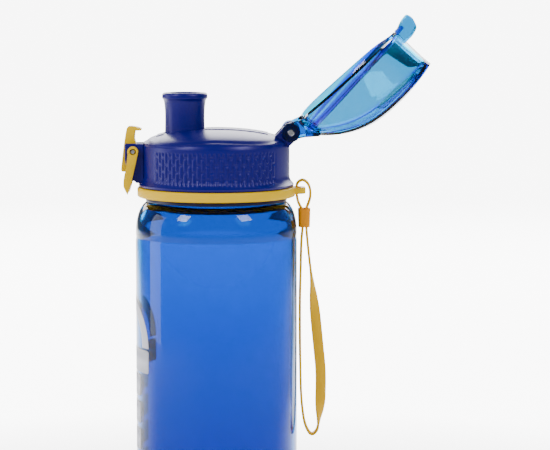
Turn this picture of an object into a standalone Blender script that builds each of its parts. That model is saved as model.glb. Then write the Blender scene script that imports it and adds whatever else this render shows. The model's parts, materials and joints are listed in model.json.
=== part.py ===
"""Flip-top sports bottle: clear body, screw cap, chimney spout, hinged cover, hook latch and wrist strap.

Units are metres. The origin is the centre of the base, +Z runs up the bottle and +X points at the cover's hinge.
"""
import math

import bmesh
import bpy
import numpy as np
from mathutils import Matrix, Vector

MM = 0.001
GAP = 0.3 * MM                  # room between neighbouring pieces
ROUND = 40                      # facets round a large turned piece
SMALL_ROUND = 16                # facets round a pin or a bore

# bottle
BODY_RADIUS = 36.75 * MM
WALL = 2.0 * MM
SHOULDER_START = 162.5 * MM
LEDGE_HEIGHT = 179.0 * MM
NECK_RADIUS = 28.0 * MM
MOUTH_RADIUS = 25.5 * MM
NECK_TOP = 197.6 * MM

# screw thread, two starts
LEAD = 9.0 * MM
STARTS = 2
THREAD_DEPTH = 1.5 * MM

# cap
CAP_FOOT = 186.0 * MM
CAP_FOOT_RADIUS = 35.2 * MM
CAP_RADIUS = 33.3 * MM
CAP_CORNER = 204.5 * MM
DOME_RISE = 7.8 * MM
DOME_RADIUS = 33.5 * MM
CAP_WALL = 1.6 * MM
INSERT_BORE = 30.0 * MM
INSERT_RADIUS = 31.5 * MM
INSERT_FLOOR = 199.8 * MM
INSERT_TOP = 201.8 * MM

# spout
SPOUT_X = -14.2 * MM
SPOUT_RADIUS = 9.05 * MM
SPOUT_BORE = 6.6 * MM
SPOUT_LIP_RADIUS = 10.3 * MM
SPOUT_TOP = 228.3 * MM

# cover and its hinge
HINGE_X = 33.9 * MM
HINGE_Z = 210.9 * MM
OPEN_ANGLE = math.radians(138.0)
PIN_RADIUS = 1.5 * MM
KNUCKLE_RADIUS = 4.2 * MM
EAR_INNER = 9.3 * MM
EAR_OUTER = 12.3 * MM
COVER_WALL = 1.8 * MM
COVER_HALF_WIDTH = 31.0 * MM
COVER_TOP_HALF_WIDTH = 16.5 * MM
COVER_FLARE = COVER_HALF_WIDTH - COVER_TOP_HALF_WIDTH

# latch
LATCH_X = -37.4 * MM
LATCH_Z = 202.0 * MM
CHEEK_INNER = 3.5 * MM
CHEEK_OUTER = 6.7 * MM
LATCH_PIN_RADIUS = 1.1 * MM

# carry ring and strap
RING_BOTTOM = 181.3 * MM
RING_TOP = 185.7 * MM
RING_INNER = 31.6 * MM
RING_OUTER = 35.9 * MM
STRAP_WIDTH = 5.0 * MM
STRAP_THICKNESS = 1.2 * MM


def clear_scene():
    """Take every object out of the open file."""
    for item in list(bpy.data.objects):
        bpy.data.objects.remove(item, do_unlink=True)


def material(name, colour, roughness, metallic=0.0, transmission=0.0):
    """A Principled material with one colour."""
    made = bpy.data.materials.new(name)
    made.use_nodes = True
    shader = made.node_tree.nodes["Principled BSDF"]
    shader.inputs["Base Color"].default_value = (*colour, 1.0)
    shader.inputs["Roughness"].default_value = roughness
    shader.inputs["Metallic"].default_value = metallic
    shader.inputs["Transmission Weight"].default_value = transmission
    return made


def place(bm, name, made_of=None):
    """Turn a bmesh into a named object whose faces point outwards."""
    bmesh.ops.recalc_face_normals(bm, faces=bm.faces)
    mesh = bpy.data.meshes.new(name)
    bm.to_mesh(mesh)
    bm.free()
    item = bpy.data.objects.new(name, mesh)
    bpy.context.scene.collection.objects.link(item)
    if made_of is not None:
        mesh.materials.append(made_of)
    return item


def turned(name, outline, made_of=None, centre_x=0.0, steps=ROUND, closed=True):
    """Turn an outline of (radius, height) points round the vertical line at centre_x.

    An outline that starts and ends on the axis is given with closed=False.
    """
    bm = bmesh.new()
    corners = [bm.verts.new((radius, 0.0, height)) for radius, height in outline]
    pairs = list(zip(corners, corners[1:]))
    if closed:
        pairs.append((corners[-1], corners[0]))
    edges = [bm.edges.new(pair) for pair in pairs]
    bmesh.ops.spin(bm, geom=corners + edges, cent=(0, 0, 0), axis=(0, 0, 1), angle=math.tau, steps=steps)
    bmesh.ops.remove_doubles(bm, verts=bm.verts, dist=1e-6)
    bmesh.ops.translate(bm, verts=bm.verts, vec=(centre_x, 0, 0))
    return place(bm, name, made_of)


def pressed(name, outline, low_y, high_y, made_of=None):
    """Push an outline of (x, z) points from low_y to high_y."""
    bm = bmesh.new()
    face = bm.faces.new([bm.verts.new((x, low_y, z)) for x, z in outline])
    pushed = bmesh.ops.extrude_face_region(bm, geom=[face])["geom"]
    moved = [item for item in pushed if isinstance(item, bmesh.types.BMVert)]
    bmesh.ops.translate(bm, verts=moved, vec=(0, high_y - low_y, 0))
    return place(bm, name, made_of)


def rod(name, radius, low_y, high_y, x, z, made_of=None, steps=SMALL_ROUND):
    """A round bar along Y."""
    outline = [(x + radius * math.cos(a), z + radius * math.sin(a)) for a in circle_angles(steps)]
    return pressed(name, outline, low_y, high_y, made_of)


def circle_angles(steps):
    """Angles of the corners of a regular polygon."""
    return [math.tau * (step + 0.5) / steps for step in range(steps)]


def arc(x, z, radius, start, end, steps=6):
    """Points along a circular arc, angles in degrees."""
    angles = np.radians(np.linspace(start, end, steps + 1))
    return [(x + radius * math.cos(a), z + radius * math.sin(a)) for a in angles]


def combine(target, tool, operation):
    """Cut or join target with tool, and take the tool away."""
    step = target.modifiers.new("combine", "BOOLEAN")
    step.operation = operation
    step.solver = "EXACT"
    step.object = tool
    settled = target.evaluated_get(bpy.context.evaluated_depsgraph_get())
    mesh = bpy.data.meshes.new_from_object(settled)
    target.modifiers.clear()
    target.data = mesh
    bpy.data.objects.remove(tool, do_unlink=True)
    bm = bmesh.new()
    bm.from_mesh(mesh)
    bmesh.ops.remove_doubles(bm, verts=bm.verts, dist=2e-6)
    bmesh.ops.dissolve_degenerate(bm, dist=2e-6, edges=bm.edges)
    bm.to_mesh(mesh)
    bm.free()
    return target


def cut(target, tool):
    """Take the tool's shape out of the target."""
    return combine(target, tool, "DIFFERENCE")


def join(target, tool):
    """Make the tool's shape part of the target."""
    return combine(target, tool, "UNION")


def smooth(item, angle=35.0):
    """Shade round faces smooth and leave real corners sharp."""
    item.data.shade_smooth()
    item.data.set_sharp_from_angle(angle=math.radians(angle))
    return item


def own_origin(item, x, y, z):
    """Move an object's origin to a point and leave its shape where it is."""
    item.data.transform(Matrix.Translation((-x, -y, -z)))
    item.location = (x, y, z)
    return item


def thread(name, root, crest, low, start_angle, turns, steps_per_turn=32):
    """One helical ridge from root to crest radius, tapering away at both ends."""
    steps = int(turns * steps_per_turn)
    bm = bmesh.new()
    rings = []
    for step in range(steps + 1):
        angle = start_angle + math.tau * step / steps_per_turn
        fade = min(1.0, step / 3.0 + 0.15, (steps - step) / 3.0 + 0.15)
        height = low + LEAD * step / steps_per_turn
        top = root + (crest - root) * fade
        ring = []
        for radius, rise in ((root, -1.0 * MM), (top, -0.55 * MM), (top, 0.55 * MM), (root, 1.0 * MM)):
            ring.append(bm.verts.new((radius * math.cos(angle), radius * math.sin(angle), height + rise)))
        rings.append(ring)
    for low_ring, high_ring in zip(rings, rings[1:]):
        for side in range(4):
            after = (side + 1) % 4
            bm.faces.new((low_ring[side], low_ring[after], high_ring[after], high_ring[side]))
    bm.faces.new(rings[0])
    bm.faces.new(rings[-1])
    return place(bm, name)


def coil(name, x, z, radius, wire, low_y, turns, made_of, steps_per_turn=10, sides=5):
    """A torsion spring wound round the line along Y at (x, z), its turns side by side."""
    steps = turns * steps_per_turn
    pitch = 2.3 * wire
    bm = bmesh.new()
    rings = []
    for step in range(steps + 1):
        angle = math.tau * step / steps_per_turn
        along = low_y + wire + pitch * step / steps_per_turn
        ring = []
        for a in circle_angles(sides):
            reach = radius + wire * math.cos(a)
            spot = (x + reach * math.cos(angle), along + wire * math.sin(a), z + reach * math.sin(angle))
            ring.append(bm.verts.new(spot))
        rings.append(ring)
    for low_ring, high_ring in zip(rings, rings[1:]):
        for side in range(sides):
            after = (side + 1) % sides
            bm.faces.new((low_ring[side], low_ring[after], high_ring[after], high_ring[side]))
    bm.faces.new(rings[0])
    bm.faces.new(rings[-1])
    return smooth(place(bm, name, made_of), 60.0)


def dome_height(radius, rise=DOME_RISE, reach=DOME_RADIUS, foot=CAP_CORNER):
    """Height of the domed top of the cap at a radius: a quarter ellipse."""
    return foot + rise * math.sqrt(max(0.0, 1.0 - (radius / reach) ** 2))


def make_bottle(plastic):
    """Clear body: flat base, straight wall, round shoulder and threaded neck."""
    shoulder = [
        (BODY_RADIUS, SHOULDER_START), (36.6 * MM, 167.5 * MM), (35.8 * MM, 172.6 * MM),
        (34.6 * MM, 176.0 * MM), (33.0 * MM, 178.2 * MM), (31.4 * MM, LEDGE_HEIGHT)]
    foot = arc(BODY_RADIUS - 7.0 * MM, 7.0 * MM, 7.0 * MM, -90, 0, 4)
    outside = [(0.0, 0.0)] + foot + shoulder
    outside += [(NECK_RADIUS, LEDGE_HEIGHT), (NECK_RADIUS, NECK_TOP - 0.6 * MM), (NECK_RADIUS - 0.6 * MM, NECK_TOP)]
    inner_foot = arc(BODY_RADIUS - 7.0 * MM, 7.6 * MM, 5.0 * MM, 0, -90, 3)
    inside = [(MOUTH_RADIUS, NECK_TOP), (MOUTH_RADIUS, LEDGE_HEIGHT - 2.4 * MM), (31.4 * MM, 176.6 * MM)]
    inside += [(33.4 * MM, 174.0 * MM), (34.4 * MM, 170.0 * MM), (BODY_RADIUS - WALL, SHOULDER_START)]
    inside += inner_foot + [(0.0, 2.6 * MM)]
    body = turned("bottle_body", outside + inside, plastic, closed=False)
    for start in range(STARTS):
        ridge = thread("ridge", NECK_RADIUS - 0.5 * MM, NECK_RADIUS + THREAD_DEPTH, 185.0 * MM,
                       math.tau * start / STARTS + 0.03, 1.0)
        join(body, ridge)
    return smooth(body)


def make_gasket(rubber):
    """Flat ring between the bottle's rim and the floor of the inner cap."""
    low = NECK_TOP + GAP
    high = INSERT_FLOOR - GAP
    outline = [(28.6 * MM, low), (28.6 * MM, high), (25.2 * MM, high), (25.2 * MM, low)]
    return smooth(turned("neck_gasket", outline, rubber))


def make_insert(plastic):
    """Threaded inner cap: floor, threaded skirt, and below it the groove and lip that hold the carry ring."""
    lip_bottom = LEDGE_HEIGHT + GAP
    outline = [
        (0.0, INSERT_TOP), (30.2 * MM, INSERT_TOP), (INSERT_RADIUS, INSERT_TOP - 1.3 * MM),
        (INSERT_RADIUS, 186.4 * MM), (31.2 * MM, 186.2 * MM), (31.2 * MM, 181.0 * MM), (32.1 * MM, 181.0 * MM),
        (32.1 * MM, lip_bottom), (INSERT_BORE, lip_bottom), (INSERT_BORE, INSERT_FLOOR), (0.0, INSERT_FLOOR)]
    insert = turned("cap_insert", outline, plastic, closed=False)
    for start in range(STARTS):
        low = 187.5 * MM
        phase = math.tau * (low - 185.0 * MM - 0.25 * LEAD) / LEAD
        ridge = thread("ridge", INSERT_BORE + 0.5 * MM, INSERT_BORE - THREAD_DEPTH, low,
                       math.tau * start / STARTS + phase + 0.03, 1.0)
        join(insert, ridge)
    low, high = INSERT_FLOOR - 1.0 * MM, INSERT_TOP + 1.0 * MM
    cut(insert, turned("bore", [(0, low), (7.2 * MM, low), (7.2 * MM, high), (0, high)], None, SPOUT_X, 24, False))
    return smooth(insert)


def make_shell(plastic):
    """Outer cap: flared skirt and dome, a latch block of two cheeks in front and two hinge knuckles behind."""
    over_dome = []
    for slope in np.linspace(0.0, 79.0, 9):
        radius = DOME_RADIUS * math.sin(math.radians(slope))
        over_dome.append((radius, dome_height(radius)))
    under_dome = []
    for slope in np.linspace(74.0, 0.0, 7):
        radius = (DOME_RADIUS - CAP_WALL) * math.sin(math.radians(slope))
        under_dome.append((radius, dome_height(radius, DOME_RISE, DOME_RADIUS - CAP_WALL, CAP_CORNER - CAP_WALL)))
    outline = over_dome + [
        (CAP_RADIUS, CAP_CORNER - 0.4 * MM), (CAP_RADIUS, 193.5 * MM), (33.6 * MM, 190.8 * MM),
        (34.4 * MM, 188.6 * MM), (CAP_FOOT_RADIUS, 187.2 * MM), (CAP_FOOT_RADIUS, CAP_FOOT),
        (31.8 * MM, CAP_FOOT), (31.8 * MM, 203.4 * MM)]
    outline += under_dome
    shell = turned("cap_shell", outline, plastic, closed=False)

    cheek = [(-32.2 * MM, 205.6 * MM), (-41.2 * MM, 205.6 * MM), (-41.2 * MM, 197.5 * MM)]
    cheek += [(-38.6 * MM, 188.6 * MM), (-36.9 * MM, 188.6 * MM), (-36.0 * MM, 187.6 * MM), (-32.2 * MM, 187.6 * MM)]
    for side in (-1, 1):
        inner, outer = sorted((side * CHEEK_INNER, side * CHEEK_OUTER))
        join(shell, pressed("cheek", cheek, inner, outer))
    cut(shell, rod("bore", LATCH_PIN_RADIUS + GAP, -8 * MM, 8 * MM, LATCH_X, LATCH_Z))

    knuckle = [(25.4 * MM, 207.9 * MM), (30.0 * MM, 203.4 * MM), (32.9 * MM, 203.4 * MM), (32.9 * MM, 204.4 * MM)]
    knuckle += arc(HINGE_X, HINGE_Z, KNUCKLE_RADIUS, -45, 150, 10)
    for side in (-1, 1):
        inner, outer = sorted((side * 4.2 * MM, side * 9.0 * MM))
        join(shell, pressed("knuckle", knuckle, inner, outer))
    cut(shell, rod("bore", PIN_RADIUS + GAP, -10 * MM, 10 * MM, HINGE_X, HINGE_Z))
    cut(shell, turned("bore", [(0, INSERT_TOP), (SPOUT_RADIUS + GAP, INSERT_TOP), (SPOUT_RADIUS + GAP, SPOUT_TOP),
                               (0, SPOUT_TOP)], None, SPOUT_X, 32, False))
    return smooth(shell)


def make_spout(plastic):
    """Chimney mouthpiece with a waist and a rolled lip, open from end to end."""
    foot = INSERT_TOP + 1.6 * MM
    outline = [(SPOUT_RADIUS, foot), (SPOUT_RADIUS, 212.0 * MM), (8.9 * MM, 217.0 * MM), (9.1 * MM, 221.5 * MM)]
    outline += [(9.5 * MM, 224.6 * MM), (SPOUT_LIP_RADIUS, 226.2 * MM), (SPOUT_LIP_RADIUS, 227.5 * MM)]
    outline += [(9.6 * MM, SPOUT_TOP), (8.2 * MM, SPOUT_TOP), (7.3 * MM, 227.4 * MM), (SPOUT_BORE, 225.6 * MM)]
    outline += [(SPOUT_BORE, foot)]
    return smooth(turned("spout", outline, plastic, SPOUT_X, 32))


def make_spout_seal(rubber):
    """Flat washer under the spout's foot."""
    low, high = INSERT_TOP + GAP, INSERT_TOP + 1.3 * MM
    outline = [(8.9 * MM, low), (8.9 * MM, high), (7.4 * MM, high), (7.4 * MM, low)]
    return smooth(turned("spout_seal", outline, rubber, SPOUT_X, 24))


def cover_top(x):
    """Height of the closed cover's ridge line at x: it droops a little in front and falls to the hinge behind."""
    crest_x, crest_z = -8.0 * MM, 234.2 * MM
    if x > crest_x:
        return crest_z - 17.0 * MM * ((x - crest_x) / (38.5 * MM)) ** 2.4
    return crest_z - 2.4 * MM * ((crest_x - x) / (25.8 * MM)) ** 2


def cover_rim(x):
    """Height of the closed cover's rim at x: nearly flat, just clear of the dome."""
    return 209.9 * MM - 0.3 * MM * (x / (30.0 * MM)) ** 2


def cover_skin(rings=13, round_steps=ROUND):
    """Outer skin of the closed cover as rings of points.

    Each ring is a rounded oval seen from above.  The first rings climb from the rim to the edge of the top, and
    the rest shrink to the middle of the top, which follows the ridge line and is slightly crowned.
    """
    wall_rings = rings * 5 // 8
    rows = []
    for ring in range(rings + 1):
        if ring <= wall_rings:
            climb = ring / wall_rings
            front = (-31.4 - 2.2 * climb ** 3 - 0.6 * math.sin(math.pi * climb)) * MM
            rear = (29.0 - 1.5 * climb ** 2) * MM
            half = COVER_HALF_WIDTH - COVER_FLARE * climb - 0.8 * MM * math.sin(math.pi * climb)
            inward = 1.0
        else:
            climb = 1.0
            inward = 1.0 - (ring - wall_rings) / (rings - wall_rings)
            front, rear, half = -33.6 * MM, 27.5 * MM, COVER_TOP_HALF_WIDTH
        middle, reach = (front + rear) / 2, (rear - front) / 2
        row = []
        for step in range(round_steps):
            angle = math.tau * step / round_steps
            square = 0.80
            along = math.copysign(abs(math.cos(angle)) ** square, math.cos(angle))
            across = math.copysign(abs(math.sin(angle)) ** square, math.sin(angle))
            x = middle + reach * inward * along
            y = half * inward * across
            crown = 1.6 * MM * (1.0 - inward ** 2)
            z = cover_rim(x) + (cover_top(x) - 1.6 * MM + crown - cover_rim(x)) * climb
            row.append((x, y, z))
        rows.append(row)
    return rows


def make_cover(plastic):
    """Clear flip cover, modelled closed: domed shell, two hinge ears, a hook tab in front and a seal seat inside."""
    rows = cover_skin()
    bm = bmesh.new()
    rings = [[bm.verts.new(point) for point in row] for row in rows[:-1]]
    for low_ring, high_ring in zip(rings, rings[1:]):
        for step in range(len(low_ring)):
            after = (step + 1) % len(low_ring)
            bm.faces.new((low_ring[step], low_ring[after], high_ring[after], high_ring[step]))
    tip = bm.verts.new(rows[-1][0])
    for step in range(len(rings[-1])):
        bm.faces.new((rings[-1][step], rings[-1][(step + 1) % len(rings[-1])], tip))
    cover = place(bm, "flip_cover", plastic)
    wall = cover.modifiers.new("wall", "SOLIDIFY")
    wall.thickness = COVER_WALL
    wall.offset = -1.0
    settled = cover.evaluated_get(bpy.context.evaluated_depsgraph_get())
    mesh = bpy.data.meshes.new_from_object(settled)
    cover.modifiers.clear()
    cover.data = mesh

    room = [(22.0 * MM, 203.0 * MM), (40.0 * MM, 203.0 * MM)]
    room += arc(HINGE_X, HINGE_Z, KNUCKLE_RADIUS + 0.8 * MM, -20, 160, 10)
    cut(cover, pressed("room", room, -EAR_INNER, EAR_INNER))
    ear = [(24.0 * MM, 211.6 * MM), (26.4 * MM, 209.0 * MM), (30.6 * MM, 207.8 * MM)]
    ear += arc(HINGE_X, HINGE_Z, 4.4 * MM, -110, 100, 12)
    ear += [(28.6 * MM, 218.0 * MM), (25.0 * MM, 221.2 * MM), (23.6 * MM, 221.2 * MM)]
    for side in (-1, 1):
        inner, outer = sorted((side * EAR_INNER, side * EAR_OUTER))
        join(cover, pressed("ear", ear, inner, outer))
    bridge = [(24.6 * MM, 219.2 * MM), (29.2 * MM, 215.4 * MM), (30.6 * MM, 217.0 * MM), (25.0 * MM, 221.2 * MM)]
    join(cover, pressed("bridge", bridge, -EAR_OUTER + 0.1 * MM, EAR_OUTER - 0.1 * MM))
    cut(cover, rod("bore", PIN_RADIUS + GAP, -14 * MM, 14 * MM, HINGE_X, HINGE_Z))

    tab = [(-29.8 * MM, 209.6 * MM), (-36.6 * MM, 206.9 * MM), (-40.9 * MM, 206.4 * MM)]
    tab += [(-41.2 * MM, 209.4 * MM), (-39.8 * MM, 214.2 * MM), (-35.4 * MM, 215.6 * MM), (-30.8 * MM, 215.8 * MM)]
    for side in (-1, 1):
        inner, outer = sorted((side * 3.7 * MM, side * 5.9 * MM))
        join(cover, pressed("tab", tab, inner, outer))
    ledge = [(-30.6 * MM, 208.6 * MM), (-35.3 * MM, 208.6 * MM), (-35.3 * MM, 210.2 * MM), (-30.6 * MM, 210.9 * MM)]
    join(cover, pressed("ledge", ledge, -4.2 * MM, 4.2 * MM))
    seat = [(10.9 * MM, 229.2 * MM), (12.2 * MM, 229.2 * MM), (12.2 * MM, 231.6 * MM), (10.9 * MM, 231.6 * MM)]
    join(cover, turned("seat", seat, None, SPOUT_X, 32))
    return cover


def open_cover_pose(item):
    """Turn a piece of the closed cover about the hinge to where the open cover rests."""
    own_origin(item, HINGE_X, 0.0, HINGE_Z)
    item.rotation_euler = (0.0, OPEN_ANGLE, 0.0)
    return item


def make_cover_seal(rubber):
    """Soft pad that closes the spout's mouth, held in the seat inside the cover."""
    low, high = SPOUT_TOP + GAP, 230.1 * MM
    outline = [(0, high), (9.9 * MM, high), (10.5 * MM, high - 0.5 * MM), (10.5 * MM, low), (0, low)]
    return turned("cover_seal", outline, rubber, SPOUT_X, 32, False)


def make_lever(plastic):
    """Hook lever: a curved plate with a pivot boss, its top bent over as a hook and its foot as a thumb pad."""
    outline = [(-36.6 * MM, 211.2 * MM), (-33.9 * MM, 211.3 * MM), (-33.7 * MM, 212.0 * MM)]
    outline += [(-35.6 * MM, 212.8 * MM), (-38.6 * MM, 213.3 * MM), (-40.2 * MM, 213.0 * MM), (-40.7 * MM, 211.4 * MM)]
    outline += [(-41.5 * MM, 206.8 * MM), (-42.4 * MM, 200.0 * MM), (-43.2 * MM, 193.2 * MM)]
    outline += [(-42.6 * MM, 192.5 * MM), (-41.0 * MM, 192.5 * MM), (-40.6 * MM, 196.0 * MM)]
    outline += arc(LATCH_X, LATCH_Z, 2.9 * MM, -130, 60, 8)
    outline += [(-37.0 * MM, 207.6 * MM)]
    lever = pressed("latch_lever", outline, -3.2 * MM, 3.2 * MM, plastic)
    pocket = [(x, z) for x, z in arc(LATCH_X, LATCH_Z, 3.1 * MM, 0, 330, 14)]
    cut(lever, pressed("pocket", pocket, 0.6 * MM, 3.4 * MM))
    cut(lever, rod("bore", LATCH_PIN_RADIUS + GAP, -4 * MM, 4 * MM, LATCH_X, LATCH_Z))
    return smooth(lever)


def make_bail(plastic):
    """U-shaped lock bail: two tapering arms outside the cheeks and a bar that joins their lower ends."""
    arm = arc(LATCH_X, LATCH_Z, 2.5 * MM, 10, 170, 8)
    arm += [(-40.4 * MM, 196.0 * MM), (-41.8 * MM, 189.4 * MM), (-41.8 * MM, 186.2 * MM), (-39.9 * MM, 182.4 * MM)]
    arm += [(-38.8 * MM, 186.0 * MM), (-37.6 * MM, 190.2 * MM)]
    bar = [(-41.8 * MM, 188.0 * MM), (-41.8 * MM, 186.2 * MM), (-39.9 * MM, 182.4 * MM), (-38.8 * MM, 186.0 * MM)]
    bail = pressed("lock_bail", bar, -8.9 * MM, 8.9 * MM, plastic)
    for side in (-1, 1):
        inner, outer = sorted((side * (CHEEK_OUTER + GAP), side * 9.2 * MM))
        join(bail, pressed("arm", arm, inner, outer))
    cut(bail, rod("bore", LATCH_PIN_RADIUS + GAP, -11 * MM, 11 * MM, LATCH_X, LATCH_Z))
    return smooth(bail)


def make_ring(plastic):
    """Carry ring with a slotted lug for the strap."""
    outline = [
        (RING_OUTER, RING_TOP - 0.6 * MM), (RING_OUTER, RING_BOTTOM + 0.6 * MM), (RING_OUTER - 0.6 * MM, RING_BOTTOM),
        (RING_INNER, RING_BOTTOM), (RING_INNER, RING_TOP), (RING_OUTER - 0.6 * MM, RING_TOP)]
    ring = turned("carry_ring", outline, plastic)
    lug = [(33.0 * MM, 182.6 * MM), (40.2 * MM, 182.9 * MM), (40.8 * MM, 183.6 * MM), (40.8 * MM, 184.8 * MM)]
    lug += [(40.2 * MM, 185.4 * MM), (33.0 * MM, 185.4 * MM)]
    join(ring, pressed("lug", lug, -5.6 * MM, 5.6 * MM))
    slot = [(35.3 * MM, 180.0 * MM), (37.9 * MM, 180.0 * MM), (37.9 * MM, 187.0 * MM), (35.3 * MM, 187.0 * MM)]
    cut(ring, pressed("slot", slot, -3.1 * MM, 3.1 * MM))
    return smooth(ring)


def strap_route():
    """Middle line of the strap in the plane y = 0.

    It starts in the keeper, climbs through the lug's slot, comes back down over the bar into the keeper, and goes
    on as the wrist loop, which hangs beside the body and ends in the keeper again.
    """
    points = [(39.05, 175.2), (37.3, 178.6), (36.6, 182.0), (36.5, 185.0), (37.0, 187.4), (39.2, 188.7)]
    points += [(41.4, 187.4), (42.6, 184.6), (42.7, 181.0), (41.8, 177.8), (40.7, 175.0), (39.5, 170.6)]
    points += [(39.2, 166.0), (38.7, 160.0), (38.4, 148.0), (38.1, 134.0), (38.1, 118.0), (38.3, 104.0)]
    points += [(38.6, 92.0), (39.3, 83.0), (40.6, 76.0), (43.2, 71.6), (46.0, 73.6), (47.0, 80.0)]
    points += [(47.6, 90.0), (47.6, 101.0), (46.6, 112.0), (45.2, 126.0), (43.6, 142.0), (42.2, 154.0)]
    points += [(41.2, 164.0), (41.0, 168.0), (41.0, 170.4)]
    return [Vector((x * MM, 0.0, z * MM)) for x, z in points]


def smooth_line(points, spacing):
    """Even points along a Catmull-Rom curve through the given ones."""
    dense = []
    for index in range(len(points) - 1):
        before = points[max(index - 1, 0)]
        here, there = points[index], points[index + 1]
        after = points[min(index + 2, len(points) - 1)]
        for step in range(12):
            t = step / 12
            dense.append(0.5 * (2 * here + (there - before) * t + (2 * before - 5 * here + 4 * there - after) * t ** 2
                                + (3 * here - before - 3 * there + after) * t ** 3))
    dense.append(points[-1])
    lengths = np.concatenate([[0.0], np.cumsum([(b - a).length for a, b in zip(dense, dense[1:])])])
    count = int(round(lengths[-1] / spacing))
    wanted = np.linspace(0.0, lengths[-1], count + 1)
    columns = [np.interp(wanted, lengths, [point[axis] for point in dense]) for axis in range(3)]
    return [Vector(values) for values in zip(*columns)]


def make_strap(silicone):
    """Flat band along the strap's route, its width across Y."""
    line = smooth_line(strap_route(), 4.2 * MM)
    half_width, half_thick = STRAP_WIDTH / 2, STRAP_THICKNESS / 2
    bm = bmesh.new()
    rings = []
    for index, point in enumerate(line):
        along = (line[min(index + 1, len(line) - 1)] - line[max(index - 1, 0)]).normalized()
        out = Vector((along.z, 0.0, -along.x))
        ring = []
        for across, lift in ((-1, -1), (1, -1), (1, 1), (-1, 1)):
            ring.append(bm.verts.new(point + Vector((0, across * half_width, 0)) + out * (lift * half_thick)))
        rings.append(ring)
    for low_ring, high_ring in zip(rings, rings[1:]):
        for side in range(4):
            after = (side + 1) % 4
            bm.faces.new((low_ring[side], low_ring[after], high_ring[after], high_ring[side]))
    bm.faces.new(rings[0])
    bm.faces.new(rings[-1])
    return smooth(place(bm, "wrist_strap", silicone), 50.0)


def make_keeper(silicone):
    """Keeper: a short tapered sleeve round the strap's strands."""
    outline = [(36.9 * MM, 175.0 * MM), (37.6 * MM, 175.8 * MM), (42.0 * MM, 175.8 * MM), (42.8 * MM, 175.0 * MM)]
    outline += [(42.6 * MM, 168.0 * MM), (41.8 * MM, 167.2 * MM), (38.4 * MM, 167.2 * MM), (37.6 * MM, 168.0 * MM)]
    keeper = pressed("strap_keeper", outline, -3.6 * MM, 3.6 * MM, silicone)
    room = [(37.4 * MM, 177.0 * MM), (42.2 * MM, 177.0 * MM), (42.0 * MM, 166.0 * MM), (38.3 * MM, 166.0 * MM)]
    return cut(keeper, pressed("room", room, -2.8 * MM, 2.8 * MM))


def main():
    """Build every piece of the bottle."""
    clear_scene()
    clear_blue = material("clear_blue_body", (0.01, 0.16, 0.62), 0.08, 0.0, 0.6)
    clear_cyan = material("clear_cyan_cover", (0.05, 0.55, 0.85), 0.05, 0.0, 0.8)
    indigo = material("satin_indigo", (0.03, 0.02, 0.26), 0.38)
    navy = material("dark_navy", (0.01, 0.01, 0.10), 0.45)
    yellow = material("yellow_plastic", (0.85, 0.60, 0.01), 0.40)
    strap_yellow = material("yellow_silicone", (0.80, 0.48, 0.01), 0.55)
    orange = material("orange_silicone", (0.85, 0.33, 0.01), 0.55)
    seal_white = material("pale_silicone", (0.75, 0.82, 0.86), 0.60)
    steel = material("pin_steel", (0.55, 0.56, 0.58), 0.25, 1.0)

    make_bottle(clear_blue)
    make_gasket(seal_white)
    make_insert(navy)
    make_shell(indigo)
    make_spout(indigo)
    make_spout_seal(seal_white)
    open_cover_pose(smooth(make_cover(clear_cyan)))
    open_cover_pose(smooth(make_cover_seal(seal_white)))
    own_origin(smooth(rod("hinge_pin", PIN_RADIUS, -13.0 * MM, 13.0 * MM, HINGE_X, HINGE_Z, steel)), HINGE_X, 0, HINGE_Z)
    coil("hinge_spring", HINGE_X, HINGE_Z, 2.5 * MM, 0.35 * MM, -3.8 * MM, 9, steel)
    own_origin(make_lever(yellow), LATCH_X, 0, LATCH_Z)
    own_origin(make_bail(yellow), LATCH_X, 0, LATCH_Z)
    smooth(rod("latch_pin", LATCH_PIN_RADIUS, -8.8 * MM, 8.8 * MM, LATCH_X, LATCH_Z, steel))
    coil("latch_spring", LATCH_X, LATCH_Z, 1.95 * MM, 0.3 * MM, 0.9 * MM, 3, steel)
    make_ring(yellow)
    make_strap(strap_yellow)
    make_keeper(orange)


main()
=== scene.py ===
"""Looks of a clear blue sports bottle: tinted body, satin indigo cap, clear cover, yellow latch and strap."""

import json
import math

import bmesh
import bpy
import numpy as np
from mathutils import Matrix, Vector


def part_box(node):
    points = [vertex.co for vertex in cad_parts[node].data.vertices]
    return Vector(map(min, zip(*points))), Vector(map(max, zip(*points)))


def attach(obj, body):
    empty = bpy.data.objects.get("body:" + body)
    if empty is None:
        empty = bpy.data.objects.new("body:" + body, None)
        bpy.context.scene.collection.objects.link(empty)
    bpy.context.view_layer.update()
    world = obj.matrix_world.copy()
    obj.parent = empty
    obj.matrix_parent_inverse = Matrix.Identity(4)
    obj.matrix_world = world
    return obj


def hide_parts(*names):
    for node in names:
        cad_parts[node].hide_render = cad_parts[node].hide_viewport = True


MM = 0.001

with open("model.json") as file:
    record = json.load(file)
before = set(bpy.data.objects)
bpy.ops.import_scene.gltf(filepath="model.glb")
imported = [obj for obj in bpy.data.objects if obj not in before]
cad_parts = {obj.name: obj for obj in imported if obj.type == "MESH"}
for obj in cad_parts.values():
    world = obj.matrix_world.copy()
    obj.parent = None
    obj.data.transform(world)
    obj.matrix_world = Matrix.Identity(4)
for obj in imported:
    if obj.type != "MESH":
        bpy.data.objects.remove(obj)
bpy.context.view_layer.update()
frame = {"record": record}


# ---------------------------------------------------------------- places read from the frame
def joint(name):
    """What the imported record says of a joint."""
    return next(entry for entry in frame["record"]["behaviour"]["joints"] if entry["name"] == name)


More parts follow.
